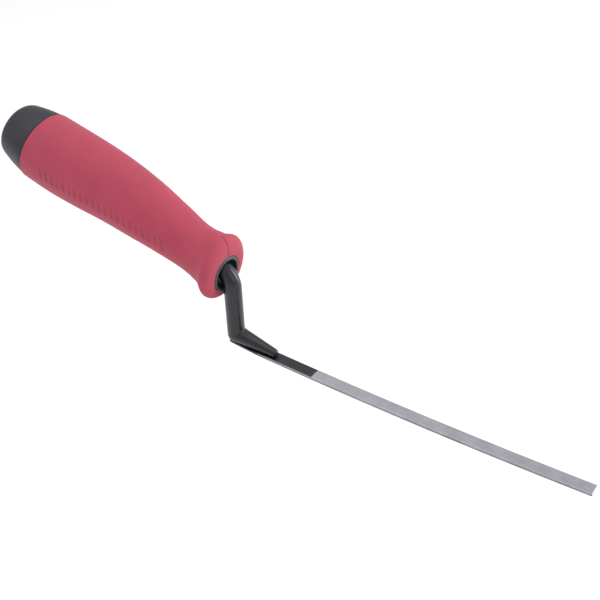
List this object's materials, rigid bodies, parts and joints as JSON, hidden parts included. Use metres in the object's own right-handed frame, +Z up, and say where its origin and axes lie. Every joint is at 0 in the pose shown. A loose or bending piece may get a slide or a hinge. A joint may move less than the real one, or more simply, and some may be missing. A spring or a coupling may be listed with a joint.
{
  "type": "tuck pointing trowel",
  "caption": "Narrow strip blade on a goose-neck tang, with a soft-grip handle and a hard butt cap, for packing mortar into joints.",
  "frame": {"origin": "on the handle's axis in the middle of the grip, where the hand that holds the tool closes round it", "axes": "+X along the blade towards its tip, +Y to the left, +Z up out of the blade's upper face, so the handle rises backwards"},
  "size_m": [0.2909, 0.0332, 0.0871],
  "materials": {
    "blade_steel": "ground steel, bare beyond the painted heel",
    "tang_paint": "semi-gloss black paint on forged steel",
    "core_plastic": "dark grey moulded plastic",
    "grip_rubber": "matte red soft grip",
    "cap_plastic": "satin black moulded plastic"
  },
  "bodies": {
    "root": {"blade": "blade_steel", "tang": "tang_paint", "handle_core": "core_plastic", "grip_sleeve": "grip_rubber", "butt_cap": "cap_plastic"}
  },
  "joints": []
}
